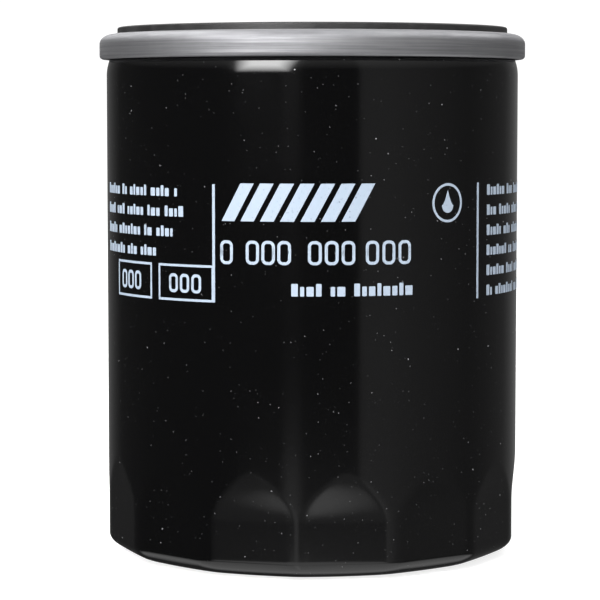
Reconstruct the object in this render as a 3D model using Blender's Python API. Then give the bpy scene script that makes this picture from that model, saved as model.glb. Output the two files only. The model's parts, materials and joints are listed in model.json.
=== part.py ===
"""Spin-on oil filter for a small engine, standing on its closed end.

The origin is at the centre of the base and +Z runs up the axis, through the threaded end. Round
pieces are turned from half sections, given as (radius, height) points. The wrench flats, pleats,
holes and coils are worked out from the sizes below. All sizes are in metres and radians.
"""

from math import asin, atan2, cos, hypot, pi, radians, sin, sqrt, tau

import bmesh
import bpy
from mathutils import Matrix, Vector

MM = 0.001

# Fits and fineness
GAP = 0.3 * MM  # left between pieces that touch
WELD = 0.001 * MM  # points closer than this are one point
SMOOTH_ANGLE = radians(35)
SHELL_STEPS = 56  # facets round the outer pieces, a multiple of the number of flats
INNER_STEPS = 36  # facets round the pieces inside
HOLE_STEPS = 12
TUBE_HOLE_STEPS = 8
CORNER_STEPS = 3
HIDDEN_STEPS = 2  # for small or hidden corners
COIL_STEPS = 14

# Canister
HEIGHT = 93.5 * MM  # base to the sealing face of the gasket
CAN_RADIUS = 36.75 * MM
CAN_WALL = 0.4 * MM
CORNER_WIDTH = 6.5 * MM  # the corner between the side and the base, measured along the base
CORNER_HEIGHT = 3.25 * MM
NECK_STEP = 0.55 * MM  # how far the side draws in under the seam
NECK_LENGTH = 2.9 * MM
WELL_DEPTH = 1.2 * MM  # the well stamped in the base centres the support spring
WELL_SLOPE = 1.5 * MM

# Wrench flats round the closed end
FLATS = 14
FLAT_DEPTH = 0.72 * MM  # at the middle of a flat
FLAT_LOW = 10.0 * MM  # the flat is at full depth below this height
FLAT_HIGH = 18.7 * MM  # and has run out into the round side above this one
FLAT_STEPS = 3
FIRST_RIDGE = radians(-93.7)

# Seam between the canister and the lid
SEAM_HEIGHT = 4.5 * MM
LID_SHEET = 0.4 * MM
FOLD_GAP = 0.7 * MM  # between the canister's neck and its turned-down edge
CROWN_DROP = 1.8 * MM  # height of the rounded top edge of the seam
SEAM_BEND = 0.7 * MM  # the rounded bottom edge of the seam
COMPOUND_WIDTH = 0.8 * MM
COMPOUND_THICKNESS = 0.5 * MM

# Gasket, in the lid's channel
GASKET_PROUD = 1.2 * MM
GASKET_HEIGHT = 5.0 * MM
GASKET_WIDTH = 4.0 * MM
GASKET_EDGE = 0.5 * MM
RIM_HEIGHT = 2.5 * MM  # the lid's turned-up edge inside the gasket

# Tapping plate
PLATE_THICKNESS = 3.0 * MM
PLATE_CLEARANCE = 1.0 * MM  # to the canister's neck
THREAD_RADIUS = 8.75 * MM  # crests of a 3/4-16 UNF thread
THREAD_LENGTH = 8.0 * MM
THREAD_CHAMFER = 0.9 * MM
COLLAR_WALL = 3.2 * MM
INLETS = 8
INLET_RADIUS = 2.8 * MM

# Anti-drainback valve
FLAP_THICKNESS = 1.2 * MM
FLAP_LIP = 2.0 * MM
FLAP_OVERHANG = 0.9 * MM  # the lip stays this far inside the lid's rim
HUB_WALL = 2.6 * MM
HUB_HEIGHT = 3.4 * MM

# Filter element
COLLAR_CLEARANCE = 0.8 * MM  # between the plate's collar and the upper end cap
CAP_SHEET = 0.4 * MM
CAP_FLANGE = 3.5 * MM
CAP_BORE = 12.6 * MM
FLOW_GAP = 2.2 * MM  # between the flats and the end caps
POTTING = 1.2 * MM
TUBE_WALL = 0.4 * MM
TUBE_HOLE_RADIUS = 1.5 * MM
TUBE_HOLE_COLUMNS = 6
TUBE_HOLE_PITCH = 9.5 * MM
PLEATS = 42
PAPER = 0.6 * MM
PLEAT_FOLD = 1.3 * MM  # width of a fold, outside the pleats
PLEAT_CREASE = 0.9 * MM  # width of a fold, inside them
PLEAT_MARGIN = 0.9 * MM  # between the pleats and the metal on both sides
CLIP_SHEET = 0.3 * MM
CLIP_DEPTH = 4.5 * MM
CLIP_WIDTH = 1.0 * MM

# Support spring and element guide
SPRING_RADIUS = 21.0 * MM  # to the middle of the wire
SPRING_WIRE = 2.0 * MM
SPRING_TURNS = 2.75
SPRING_LENGTH = 11.0 * MM
GUIDE_SHEET = 0.6 * MM
GUIDE_LIP = 2.0 * MM
GUIDE_CLEARANCE = 0.8 * MM  # to the flats
GUIDE_BORE = 13.0 * MM
GUIDE_HOLES = 8
GUIDE_HOLE_RADIUS = 2.2 * MM

# Bypass valve, in the lower end cap
VALVE_SHEET = 0.5 * MM
PORT_RADIUS = 5.5 * MM
PORT_LIP = 0.9 * MM
SEAL_WIDTH = 4.0 * MM
SEAL_THICKNESS = 1.0 * MM
STEM_RADIUS = 1.8 * MM
STEM_CLEARANCE = 0.5 * MM
VALVE_SPRING_RADIUS = 4.6 * MM
VALVE_SPRING_WIRE = 0.8 * MM
VALVE_SPRING_TURNS = 4.5
VALVE_SPRING_LENGTH = 10.5 * MM
CAGE_WINDOWS = 4
CAGE_WINDOW_WIDTH = 5.0 * MM
CAGE_BAND = 1.2 * MM  # metal left above and below each window

# Heights that follow
SEAM_TOP = HEIGHT - GASKET_PROUD
SEAM_BOTTOM = SEAM_TOP - SEAM_HEIGHT
CROWN_HEIGHT = SEAM_TOP - CROWN_DROP
NECK_BOTTOM = SEAM_BOTTOM - NECK_LENGTH
CHANNEL_FLOOR = HEIGHT - GASKET_HEIGHT - GAP
PLATE_TOP = CHANNEL_FLOOR - LID_SHEET - GAP
PLATE_BOTTOM = PLATE_TOP - PLATE_THICKNESS
FLAP_TOP = PLATE_BOTTOM - GAP
COLLAR_BOTTOM = PLATE_TOP - THREAD_LENGTH
ELEMENT_TOP = COLLAR_BOTTOM - COLLAR_CLEARANCE
SPRING_BOTTOM = CAN_WALL + GAP
GUIDE_BOTTOM = SPRING_BOTTOM + SPRING_LENGTH + GAP
ELEMENT_BOTTOM = GUIDE_BOTTOM + GUIDE_SHEET + GAP
ELEMENT_LENGTH = ELEMENT_TOP - ELEMENT_BOTTOM
ON_CAP = CAP_SHEET + GAP  # from here on, heights inside the element start at its lower end
PAPER_BASE = ON_CAP + POTTING + GAP
LIP_TOP = ON_CAP + VALVE_SHEET + PORT_LIP
CAGE_BASE = ON_CAP + VALVE_SHEET + GAP
VALVE_BASE = LIP_TOP + GAP
DISC_BASE = SEAL_THICKNESS + GAP  # from here on, heights in the valve start under its seal
VALVE_SPRING_BASE = DISC_BASE + VALVE_SHEET + GAP
CAGE_TOP = VALVE_BASE + VALVE_SPRING_BASE + VALVE_SPRING_LENGTH + GAP

# Radii that follow
NECK_RADIUS = CAN_RADIUS - NECK_STEP
NECK_INSIDE = NECK_RADIUS - CAN_WALL
FLAT_INSIDE = CAN_RADIUS - FLAT_DEPTH - CAN_WALL
HOOK_INSIDE = NECK_RADIUS + FOLD_GAP
HOOK_RADIUS = HOOK_INSIDE + CAN_WALL
HOOK_TOP = CROWN_HEIGHT
SEAM_RADIUS = HOOK_RADIUS + GAP + LID_SHEET
CHUCK_RADIUS = NECK_INSIDE - GAP  # the lid's wall inside the neck
CROWN_WIDTH = SEAM_RADIUS - CHUCK_RADIUS
GASKET_RADIUS = CHUCK_RADIUS - LID_SHEET - GAP
RIM_RADIUS = GASKET_RADIUS - GASKET_WIDTH - GAP
PLATE_RADIUS = NECK_INSIDE - PLATE_CLEARANCE
COLLAR_RADIUS = THREAD_RADIUS + COLLAR_WALL
FLAP_RADIUS = RIM_RADIUS - LID_SHEET - FLAP_OVERHANG
HUB_BORE = COLLAR_RADIUS + GAP
INLET_PITCH = (HUB_BORE + HUB_WALL + FLAP_RADIUS - FLAP_LIP) / 2
CAP_RADIUS = FLAT_INSIDE - FLOW_GAP
FLANGE_RADIUS = CAP_BORE + CAP_SHEET
TUBE_INSIDE = FLANGE_RADIUS + GAP
TUBE_RADIUS = TUBE_INSIDE + TUBE_WALL
PAPER_INSIDE = TUBE_RADIUS + PLEAT_MARGIN
PAPER_OUTSIDE = CAP_RADIUS - CAP_SHEET - PLEAT_MARGIN
FOOT_RADIUS = CAN_RADIUS - CORNER_WIDTH
WELL_RADIUS = SPRING_RADIUS - SPRING_WIRE / 2 - GAP
GUIDE_RADIUS = FLAT_INSIDE - GUIDE_CLEARANCE
SEAT_RADIUS = CAP_BORE - GAP
CAGE_RADIUS = SEAT_RADIUS - VALVE_SHEET - GAP
DISC_RADIUS = CAGE_RADIUS - 2 * VALVE_SHEET - GAP


def material(name, colour, roughness, metallic):
    look = bpy.data.materials.new(name)
    look.use_nodes = True
    shader = look.node_tree.nodes["Principled BSDF"]
    shader.inputs["Base Color"].default_value = (*colour, 1)
    shader.inputs["Roughness"].default_value = roughness
    shader.inputs["Metallic"].default_value = metallic
    return look


def place(name, data, look, group, height=0.0):
    """An object in a group, on the axis, with its origin at this height above the group's."""
    data.materials.append(look)
    piece = bpy.data.objects.new(name, data)
    bpy.context.collection.objects.link(piece)
    piece.parent = group
    piece.location = (0, 0, height)
    return piece


def group_at(name, height, parent=None):
    """An empty on the axis, which a body's pieces hang from."""
    group = bpy.data.objects.new(name, None)
    bpy.context.collection.objects.link(group)
    group.parent = parent
    group.location = (0, 0, height)
    return group


def finished(bm, name):
    """The mesh of a closed solid, with its normals out and its round faces smooth."""
    bmesh.ops.remove_doubles(bm, verts=bm.verts, dist=WELD)
    bmesh.ops.recalc_face_normals(bm, faces=bm.faces)
    mesh = bpy.data.meshes.new(name)
    bm.to_mesh(mesh)
    bm.free()
    mesh.shade_smooth()
    mesh.set_sharp_from_angle(angle=SMOOTH_ANGLE)
    return mesh


def spun(outline, steps, start=0.0):
    """A bmesh turned about Z from the closed outline of a half section."""
    bm = bmesh.new()
    verts = [bm.verts.new((radius * cos(start), radius * sin(start), z)) for radius, z in outline]
    for (one, two), ends in zip(
        zip(verts, verts[1:] + verts[:1]), zip(outline, outline[1:] + outline[:1])
    ):
        if max(radius for radius, z in ends) > 0:
            bm.edges.new((one, two))
    geometry = bm.verts[:] + bm.edges[:]
    bmesh.ops.spin(bm, geom=geometry, axis=(0, 0, 1), angle=tau, steps=steps, use_merge=True)
    return bm


def turned(name, outline, look, group, height=0.0, steps=INNER_STEPS):
    return place(name, finished(spun(outline, steps), name), look, group, height)


def arc(radius, height, across, up, start, end, steps=CORNER_STEPS):
    """Points along part of an ellipse in a half section."""
    turns = [start + (end - start) * step / steps for step in range(steps + 1)]
    return [(radius + across * cos(turn), height + up * sin(turn)) for turn in turns]


def ring(inside, outside, low, high):
    """The half section of a plain ring."""
    return [(inside, low), (outside, low), (outside, high), (inside, high)]


def cut(piece, bm, name):
    """Takes the closed shapes in a bmesh out of a piece."""
    mesh = finished(bm, name)
    cutter = bpy.data.objects.new(name, mesh)
    bpy.context.collection.objects.link(cutter)
    cutter.parent = piece.parent
    cutter.location = piece.location
    cutter.hide_render = True
    cutter.display_type = "WIRE"
    hole = piece.modifiers.new(name, "BOOLEAN")
    hole.operation = "DIFFERENCE"
    hole.solver = "EXACT"
    hole.object = cutter


def upright_holes(count, pitch, radius, low, high):
    """Cylinders in a circle, for holes along the axis."""
    bm = bmesh.new()
    for index in range(count):
        turn = tau * (index + 0.5) / count
        middle = Vector((pitch * cos(turn), pitch * sin(turn), (low + high) / 2))
        bmesh.ops.create_cone(
            bm,
            cap_ends=True,
            segments=HOLE_STEPS,
            radius1=radius,
            radius2=radius,
            depth=high - low,
            matrix=Matrix.Translation(middle),
        )
    return bm


def coil(name, radius, wire, length, turns, look, group, height):
    """A round-wire spring with open ends, its whole length from end to end."""
    curve = bpy.data.curves.new(name, "CURVE")
    curve.dimensions = "3D"
    curve.bevel_depth = wire / 2
    curve.bevel_resolution = 1
    curve.use_fill_caps = True
    count = round(turns * COIL_STEPS) + 1
    spline = curve.splines.new("POLY")
    spline.points.add(count - 1)
    for index, point in enumerate(spline.points):
        share = index / (count - 1)
        turn = tau * turns * share
        z = wire / 2 + (length - wire) * share
        point.co = (radius * cos(turn), radius * sin(turn), z, 1)
    return place(name, curve, look, group, height)


def pressed_in(angle, z):
    """How far a flat is below the round side at this angle and height."""
    pitch = tau / FLATS
    share = min(max((z - FLAT_LOW) / (FLAT_HIGH - FLAT_LOW), 0), 1)
    distance = CAN_RADIUS - FLAT_DEPTH * (1 - share * share * (3 - 2 * share))
    off_middle = (angle - FIRST_RIDGE) % pitch - pitch / 2
    return max(CAN_RADIUS - distance / cos(off_middle), 0)


def press_flats(bm):
    """Presses the flats into a turned canister, fading to nothing round the corner of the base."""
    for vert in bm.verts:
        radius = hypot(vert.co.x, vert.co.y)
        if vert.co.z > FLAT_HIGH or radius <= FOOT_RADIUS:
            continue
        fade = min((radius - FOOT_RADIUS) / (CORNER_WIDTH - CAN_WALL), 1)
        scale = 1 - fade * pressed_in(atan2(vert.co.y, vert.co.x), vert.co.z) / radius
        vert.co.x *= scale
        vert.co.y *= scale


def make_canister(group, look):
    """The drawn can: base with its well, flats, side, neck, and the edge turned over in the seam."""
    rise = (FLAT_HIGH - FLAT_LOW) / FLAT_STEPS
    flat_heights = [FLAT_LOW + rise * step for step in range(FLAT_STEPS + 1)]
    corner = (FOOT_RADIUS, CORNER_HEIGHT, CORNER_WIDTH, CORNER_HEIGHT)
    inner_corner = (FOOT_RADIUS, CORNER_HEIGHT, CORNER_WIDTH - CAN_WALL, CORNER_HEIGHT - CAN_WALL)
    inside = CAN_RADIUS - CAN_WALL
    outline = [(0, WELL_DEPTH), (WELL_RADIUS - WELL_SLOPE, WELL_DEPTH), (WELL_RADIUS, 0)]
    outline += arc(*corner, -pi / 2, 0)
    outline += [(CAN_RADIUS, z) for z in flat_heights]
    outline += [
        (CAN_RADIUS, NECK_BOTTOM),
        (NECK_RADIUS, SEAM_BOTTOM),
        (NECK_RADIUS, HOOK_TOP - CAN_WALL),
        (HOOK_INSIDE, HOOK_TOP - CAN_WALL),
        (HOOK_INSIDE, SEAM_BOTTOM + LID_SHEET + GAP),
        (HOOK_RADIUS, SEAM_BOTTOM + LID_SHEET + GAP),
        (HOOK_RADIUS, HOOK_TOP - CAN_WALL),
        (HOOK_RADIUS - CAN_WALL, HOOK_TOP),
        (NECK_INSIDE, HOOK_TOP),
        (NECK_INSIDE, SEAM_BOTTOM),
        (inside, NECK_BOTTOM),
    ]
    outline += [(inside, z) for z in reversed(flat_heights)]
    outline += arc(*inner_corner, 0, -pi / 2)
    outline += [
        (WELL_RADIUS, CAN_WALL),
        (WELL_RADIUS - WELL_SLOPE, WELL_DEPTH + CAN_WALL),
        (0, WELL_DEPTH + CAN_WALL),
    ]
    bm = spun(outline, SHELL_STEPS, FIRST_RIDGE)
    press_flats(bm)
    return place("canister", finished(bm, "canister"), look, group)


def make_seaming_lid(group, look):
    """The sheet lid: rim, gasket channel, wall inside the neck, and the skirt rolled round the can."""
    rim_top = CHANNEL_FLOOR + RIM_HEIGHT
    outline = [
        (RIM_RADIUS - LID_SHEET, CHANNEL_FLOOR - LID_SHEET),
        (RIM_RADIUS - LID_SHEET, rim_top),
        (RIM_RADIUS, rim_top),
        (RIM_RADIUS, CHANNEL_FLOOR),
        (CHUCK_RADIUS - LID_SHEET, CHANNEL_FLOOR),
        (CHUCK_RADIUS - LID_SHEET, SEAM_TOP),
    ]
    outline += arc(CHUCK_RADIUS, CROWN_HEIGHT, CROWN_WIDTH, CROWN_DROP, pi / 2, 0)
    bend = (SEAM_RADIUS - SEAM_BEND, SEAM_BOTTOM + SEAM_BEND, SEAM_BEND, SEAM_BEND)
    outline += arc(*bend, 0, -pi / 2, HIDDEN_STEPS)
    outline += [
        (NECK_RADIUS + GAP, SEAM_BOTTOM),
        (NECK_RADIUS + GAP, SEAM_BOTTOM + LID_SHEET),
        (SEAM_RADIUS - LID_SHEET, SEAM_BOTTOM + LID_SHEET),
    ]
    under_crown = (CHUCK_RADIUS, CROWN_HEIGHT, CROWN_WIDTH - LID_SHEET, CROWN_DROP - LID_SHEET)
    outline += arc(*under_crown, 0, pi / 2, HIDDEN_STEPS)
    outline.append((CHUCK_RADIUS, CHANNEL_FLOOR - LID_SHEET))
    return turned("seaming_lid", outline, look, group, steps=SHELL_STEPS)


def make_seam_compound(group, look):
    """The sealing compound under the seam's crown, above the canister's folded edge."""
    outside = NECK_INSIDE + COMPOUND_WIDTH
    low = HOOK_TOP + GAP
    outline = ring(NECK_INSIDE, outside, low, low + COMPOUND_THICKNESS)
    return turned("seam_compound", outline, look, group, steps=SHELL_STEPS)


def make_gasket(group, look):
    inside = GASKET_RADIUS - GASKET_WIDTH
    low = HEIGHT - GASKET_HEIGHT
    outline = [
        (inside, low),
        (GASKET_RADIUS, low),
        (GASKET_RADIUS, HEIGHT - GASKET_EDGE),
        (GASKET_RADIUS - GASKET_EDGE, HEIGHT),
        (inside + GASKET_EDGE, HEIGHT),
        (inside, HEIGHT - GASKET_EDGE),
    ]
    return turned("gasket", outline, look, group, steps=SHELL_STEPS)


def make_tapping_plate(group, look):
    """The thick plate that screws onto the engine's stud, with its collar and inlet holes."""
    outline = [
        (THREAD_RADIUS, COLLAR_BOTTOM),
        (COLLAR_RADIUS, COLLAR_BOTTOM),
        (COLLAR_RADIUS, PLATE_BOTTOM),
        (PLATE_RADIUS, PLATE_BOTTOM),
        (PLATE_RADIUS, PLATE_TOP),
        (THREAD_RADIUS + THREAD_CHAMFER, PLATE_TOP),
        (THREAD_RADIUS, PLATE_TOP - THREAD_CHAMFER),
    ]
    plate = turned("tapping_plate", outline, look, group)
    past = PLATE_THICKNESS
    cut(
        plate,
        upright_holes(INLETS, INLET_PITCH, INLET_RADIUS, PLATE_BOTTOM - past, PLATE_TOP + past),
        "inlet_holes",
    )
    return plate


def make_drainback_valve(group, look):
    """The rubber skirt that closes the inlets: hub round the collar, and a cone up to its lip."""
    hub = HUB_BORE + HUB_WALL
    lip = FLAP_RADIUS - FLAP_LIP
    reach = FLAP_TOP - ELEMENT_TOP - GAP
    outline = [
        (HUB_BORE, 0),
        (hub, 0),
        (hub, HUB_HEIGHT - FLAP_THICKNESS),
        (lip, reach - FLAP_THICKNESS),
        (FLAP_RADIUS, reach - FLAP_THICKNESS),
        (FLAP_RADIUS, reach),
        (lip, reach),
        (hub, HUB_HEIGHT),
        (HUB_BORE, HUB_HEIGHT),
    ]
    return turned("anti_drainback_valve", outline, look, group)


def end_cap_mesh():
    """One end cap lying on its flat side, with both flanges up. Both ends use the same pressing."""
    outline = [
        (CAP_BORE, 0),
        (CAP_RADIUS, 0),
        (CAP_RADIUS, CAP_FLANGE),
        (CAP_RADIUS - CAP_SHEET, CAP_FLANGE),
        (CAP_RADIUS - CAP_SHEET, CAP_SHEET),
        (FLANGE_RADIUS, CAP_SHEET),
        (FLANGE_RADIUS, CAP_FLANGE),
        (CAP_BORE, CAP_FLANGE),
    ]
    return finished(spun(outline, INNER_STEPS), "end_cap")


def make_end_caps(group, look):
    mesh = end_cap_mesh()
    place("lower_end_cap", mesh, look, group)
    upper = place("upper_end_cap", mesh.copy(), look, group, ELEMENT_LENGTH)
    upper.rotation_euler = (pi, 0, 0)


def make_pottings(group, look):
    """The cured adhesive that holds the pleats in each end cap."""
    outline = ring(TUBE_RADIUS + GAP, CAP_RADIUS - CAP_SHEET - GAP, 0, POTTING)
    turned("lower_potting", outline, look, group, ON_CAP)
    turned("upper_potting", outline, look, group, ELEMENT_LENGTH - ON_CAP - POTTING)


def make_centre_tube(group, look):
    """The perforated tube that stops the pleats collapsing inwards."""
    length = ELEMENT_LENGTH - 2 * ON_CAP
    tube = turned("centre_tube", ring(TUBE_INSIDE, TUBE_RADIUS, 0, length), look, group, ON_CAP)
    spare = length - 2 * CAP_FLANGE
    rows = int(spare / TUBE_HOLE_PITCH)
    first = (length - (rows - 1) * TUBE_HOLE_PITCH) / 2
    depth = 2 * CAP_SHEET + 2 * TUBE_WALL + TUBE_HOLE_RADIUS
    bm = bmesh.new()
    for row in range(rows):
        for column in range(TUBE_HOLE_COLUMNS):
            turn = tau * (column + 0.5 * (row % 2)) / TUBE_HOLE_COLUMNS
            outwards = Matrix.Rotation(turn, 4, "Z") @ Matrix.Translation((TUBE_INSIDE, 0, 0))
            upwards = Matrix.Translation((0, 0, first + row * TUBE_HOLE_PITCH))
            bmesh.ops.create_cone(
                bm,
                cap_ends=True,
                segments=TUBE_HOLE_STEPS,
                radius1=TUBE_HOLE_RADIUS,
                radius2=TUBE_HOLE_RADIUS,
                depth=depth,
                matrix=upwards @ outwards @ Matrix.Rotation(pi / 2, 4, "Y"),
            )
    cut(tube, bm, "tube_holes")
    return tube


def pleat_corners():
    """The middle line of the paper, as corners round the element with two at each fold."""
    corners = []
    for index in range(PLEATS):
        for radius, width, shift in (
            (PAPER_OUTSIDE - PAPER / 2, PLEAT_FOLD, 0),
            (PAPER_INSIDE + PAPER / 2, PLEAT_CREASE, 0.5),
        ):
            middle = tau * (index + shift) / PLEATS
            half = asin((width - PAPER) / 2 / radius)
            corners += [
                Vector((radius * cos(middle + side), radius * sin(middle + side)))
                for side in (-half, half)
            ]
    return corners


def make_filter_paper(group, look):
    """The pleated paper: its middle line thickened to both sides, then drawn up to its height."""
    corners = pleat_corners()
    bm = bmesh.new()
    sides = []
    for before, here, after in zip(corners[-1:] + corners[:-1], corners, corners[1:] + corners[:1]):
        into = (here - before).normalized()
        out = (after - here).normalized()
        normal = Vector((into.y + out.y, -into.x - out.x)).normalized()
        mitre = normal * (PAPER / 2) / sqrt((1 + into.dot(out)) / 2)
        sides.append([bm.verts.new((*(here + mitre * side), 0)) for side in (1, -1)])
    for (outer, inner), (next_outer, next_inner) in zip(sides, sides[1:] + sides[:1]):
        bm.faces.new((outer, next_outer, next_inner, inner))
    drawn = bmesh.ops.extrude_face_region(bm, geom=bm.faces[:])
    length = ELEMENT_LENGTH - 2 * PAPER_BASE
    top = [item for item in drawn["geom"] if isinstance(item, bmesh.types.BMVert)]
    bmesh.ops.translate(bm, verts=top, vec=(0, 0, length))
    return place("filter_paper", finished(bm, "filter_paper"), look, group, PAPER_BASE)


def make_seam_clip(group, look):
    """The folded strip in one valley between pleats, which closes the paper's two ends."""
    outside = PAPER_OUTSIDE
    half = CLIP_WIDTH / 2
    section = [
        (outside - CLIP_DEPTH, half),
        (outside, half),
        (outside, -half),
        (outside - CLIP_DEPTH, -half),
        (outside - CLIP_DEPTH, -half + CLIP_SHEET),
        (outside - CLIP_SHEET, -half + CLIP_SHEET),
        (outside - CLIP_SHEET, half - CLIP_SHEET),
        (outside - CLIP_DEPTH, half - CLIP_SHEET),
    ]
    bm = bmesh.new()
    face = bm.faces.new([bm.verts.new((x, y, 0)) for x, y in section])
    drawn = bmesh.ops.extrude_face_region(bm, geom=[face])
    top = [item for item in drawn["geom"] if isinstance(item, bmesh.types.BMVert)]
    bmesh.ops.translate(bm, verts=top, vec=(0, 0, ELEMENT_LENGTH - 2 * PAPER_BASE))
    bmesh.ops.rotate(bm, verts=bm.verts, cent=(0, 0, 0), matrix=Matrix.Rotation(pi / PLEATS, 3, "Z"))
    return place("paper_seam_clip", finished(bm, "paper_seam_clip"), look, group, PAPER_BASE)


def make_element_guide(group, look):
    """The dished pressing between the support spring and the element, which keeps it central."""
    outline = [
        (GUIDE_BORE, 0),
        (GUIDE_RADIUS, 0),
        (GUIDE_RADIUS, GUIDE_SHEET + GUIDE_LIP),
        (GUIDE_RADIUS - GUIDE_SHEET, GUIDE_SHEET + GUIDE_LIP),
        (GUIDE_RADIUS - GUIDE_SHEET, GUIDE_SHEET),
        (GUIDE_BORE, GUIDE_SHEET),
    ]
    guide = turned("element_guide", outline, look, group, GUIDE_BOTTOM - ELEMENT_BOTTOM)
    pitch = (SPRING_RADIUS + SPRING_WIRE / 2 + GUIDE_RADIUS - GUIDE_SHEET) / 2
    cut(
        guide,
        upright_holes(GUIDE_HOLES, pitch, GUIDE_HOLE_RADIUS, -GUIDE_SHEET, 2 * GUIDE_SHEET),
        "guide_holes",
    )
    return guide


def make_bypass_seat(group, look):
    """The cup pressed into the lower end cap, with the port and the raised lip round it."""
    floor = ON_CAP
    outline = [
        (PORT_RADIUS, floor),
        (SEAT_RADIUS, floor),
        (SEAT_RADIUS, floor + CAP_FLANGE),
        (SEAT_RADIUS - VALVE_SHEET, floor + CAP_FLANGE),
        (SEAT_RADIUS - VALVE_SHEET, floor + VALVE_SHEET),
        (PORT_RADIUS + VALVE_SHEET, floor + VALVE_SHEET),
        (PORT_RADIUS + VALVE_SHEET, LIP_TOP),
        (PORT_RADIUS, LIP_TOP),
    ]
    return turned("bypass_seat", outline, look, group)


def make_bypass_cage(group, look):
    """The cup over the valve: foot, wall with windows, and a crown with the stem's hole."""
    wall = CAGE_RADIUS - VALVE_SHEET
    outline = [
        (wall - VALVE_SHEET, CAGE_BASE),
        (CAGE_RADIUS, CAGE_BASE),
        (CAGE_RADIUS, CAGE_BASE + VALVE_SHEET),
        (wall, CAGE_BASE + VALVE_SHEET),
        (wall, CAGE_TOP + VALVE_SHEET),
        (STEM_RADIUS + STEM_CLEARANCE, CAGE_TOP + VALVE_SHEET),
        (STEM_RADIUS + STEM_CLEARANCE, CAGE_TOP),
        (wall - VALVE_SHEET, CAGE_TOP),
    ]
    cage = turned("bypass_cage", outline, look, group)
    low = CAGE_BASE + VALVE_SHEET + CAGE_BAND
    high = CAGE_TOP - CAGE_BAND
    bm = bmesh.new()
    for index in range(CAGE_WINDOWS):
        size = Matrix.Diagonal((CAGE_RADIUS, CAGE_WINDOW_WIDTH, high - low, 1))
        middle = Matrix.Translation((CAGE_RADIUS, 0, (low + high) / 2))
        turn = Matrix.Rotation(tau * index / CAGE_WINDOWS, 4, "Z")
        bmesh.ops.create_cube(bm, size=1, matrix=turn @ middle @ size)
    cut(cage, bm, "cage_windows")
    return cage


def make_bypass_valve(group, rubber, steel):
    """The seal that closes the port, and the disc and stem above it."""
    inside = PORT_RADIUS + PORT_LIP / 2 - SEAL_WIDTH / 2
    turned("bypass_seal", ring(inside, inside + SEAL_WIDTH, 0, SEAL_THICKNESS), rubber, group)
    top = CAGE_TOP + 2 * VALVE_SHEET - VALVE_BASE
    outline = [
        (0, DISC_BASE),
        (DISC_RADIUS, DISC_BASE),
        (DISC_RADIUS, DISC_BASE + VALVE_SHEET),
        (STEM_RADIUS, DISC_BASE + VALVE_SHEET),
        (STEM_RADIUS, top),
        (0, top),
    ]
    turned("bypass_disc", outline, steel, group)


def main():
    for item in list(bpy.data.objects):
        bpy.data.objects.remove(item)

    black_paint = material("black_paint", (0.012, 0.012, 0.013), 0.28, 0.0)
    tinned_steel = material("tinned_steel", (0.62, 0.62, 0.63), 0.32, 1.0)
    plate_steel = material("plate_steel", (0.42, 0.42, 0.43), 0.42, 1.0)
    zinc_steel = material("zinc_steel", (0.55, 0.55, 0.54), 0.38, 1.0)
    spring_steel = material("spring_steel", (0.30, 0.30, 0.31), 0.35, 1.0)
    black_rubber = material("black_rubber", (0.022, 0.022, 0.024), 0.62, 0.0)
    compound = material("seam_compound", (0.35, 0.33, 0.30), 0.7, 0.0)
    adhesive = material("adhesive", (0.50, 0.22, 0.12), 0.5, 0.0)
    paper = material("filter_paper", (0.72, 0.52, 0.24), 0.85, 0.0)

    housing = group_at("housing", 0)
    element = group_at("element", ELEMENT_BOTTOM, housing)
    bypass = group_at("bypass_valve", VALVE_BASE, element)
    drainback = group_at("drainback_flap", ELEMENT_TOP + GAP, housing)

    make_canister(housing, black_paint)
    make_seaming_lid(housing, tinned_steel)
    make_seam_compound(housing, compound)
    make_tapping_plate(housing, plate_steel)
    make_gasket(housing, black_rubber)
    coil(
        "support_spring",
        SPRING_RADIUS,
        SPRING_WIRE,
        SPRING_LENGTH,
        SPRING_TURNS,
        spring_steel,
        housing,
        SPRING_BOTTOM,
    )

    make_drainback_valve(drainback, black_rubber)

    make_end_caps(element, zinc_steel)
    make_pottings(element, adhesive)
    make_centre_tube(element, zinc_steel)
    make_filter_paper(element, paper)
    make_seam_clip(element, zinc_steel)
    make_element_guide(element, zinc_steel)
    make_bypass_seat(element, zinc_steel)
    make_bypass_cage(element, zinc_steel)
    coil(
        "bypass_spring",
        VALVE_SPRING_RADIUS,
        VALVE_SPRING_WIRE,
        VALVE_SPRING_LENGTH,
        VALVE_SPRING_TURNS,
        spring_steel,
        element,
        VALVE_BASE + VALVE_SPRING_BASE,
    )

    make_bypass_valve(bypass, black_rubber, zinc_steel)


main()
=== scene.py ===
"""The looks of the spin-on oil filter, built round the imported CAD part.

Finer pieces stand in for the CAD solids: turned sheet metal with rounded bends, a cut thread,
folded paper, closed springs and the print on the can. Sizes repeated from the CAD have the same
names there. Lengths are in metres and angles in radians, and textures are laid out in
millimetres. Azimuths run round the axis from the front of the can, positive to the right.
"""

import json
from math import asin, atan2, ceil, cos, hypot, pi, radians, sin, sqrt, tan, tau

import bmesh
import bpy
from mathutils import Matrix, Vector


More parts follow.
